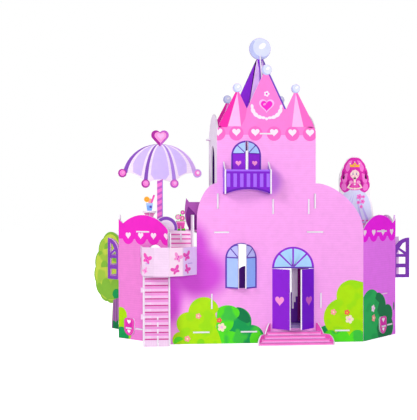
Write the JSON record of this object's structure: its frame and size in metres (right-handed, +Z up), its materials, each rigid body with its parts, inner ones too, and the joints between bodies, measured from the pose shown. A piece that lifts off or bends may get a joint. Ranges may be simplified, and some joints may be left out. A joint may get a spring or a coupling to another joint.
{
  "type": "cardboard play castle",
  "caption": "Slot-together card play castle: folded front with door and windows, open back, tower with crossed-card spire, balcony, stairs, landing and terrace pieces.",
  "frame": {"origin": "under the front wall, on the line of its outer face, midway between its two folds, at floor level", "axes": "+X along the front wall to its right as seen from the front, +Y back into the castle, +Z up"},
  "size_m": [0.693, 0.3455, 0.6324],
  "materials": {
    "green_print": "satin",
    "pale_print": "satin",
    "pink_print": "satin",
    "purple_print": "satin",
    "small_print": "satin"
  },
  "bodies": {
    "root": {"balcony_floor": "purple_print", "balcony_front": "purple_print", "balcony_side_left": "purple_print", "balcony_side_right": "purple_print", "drink": "small_print", "figure_foot": "small_print", "front_steps": "pale_print", "front_wall": "pink_print", "ground_floor": "pink_print", "hall_screen": "purple_print", "inner_wall_left": "purple_print", "inner_wall_right": "purple_print", "landing_floor": "pink_print", "landing_rail": "pale_print", "lock_tag_left": "small_print", "lock_tag_right": "small_print", "lounger_seat": "small_print", "lounger_side_back": "purple_print", "lounger_side_front": "purple_print", "lower_rib": "purple_print", "lower_stairs": "pale_print", "lower_stringer_left": "pink_print", "lower_stringer_right": "pink_print", "parasol": "purple_print", "parasol_foot": "small_print", "partition_left": "purple_print", "partition_right": "purple_print", "planter": "small_print", "planter_foot": "small_print", "princess_figure": "small_print", "roof_card_front": "purple_print", "roof_card_side": "purple_print", "side_wall_left": "pink_print", "side_wall_right": "pink_print", "step_cheek_left": "pink_print", "step_cheek_right": "pink_print", "table_legs_front": "small_print", "table_legs_side": "small_print", "table_top": "small_print", "terrace_floor": "pink_print", "terrace_screen": "purple_print", "tower_back": "pink_print", "tower_ceiling": "pink_print", "tower_floor": "pink_print", "tower_wall_left": "purple_print", "tower_wall_right": "purple_print", "tree": "green_print", "upper_rib": "purple_print", "upper_stairs": "pale_print", "upper_stringer_left": "purple_print", "upper_stringer_right": "purple_print"}
  },
  "joints": []
}
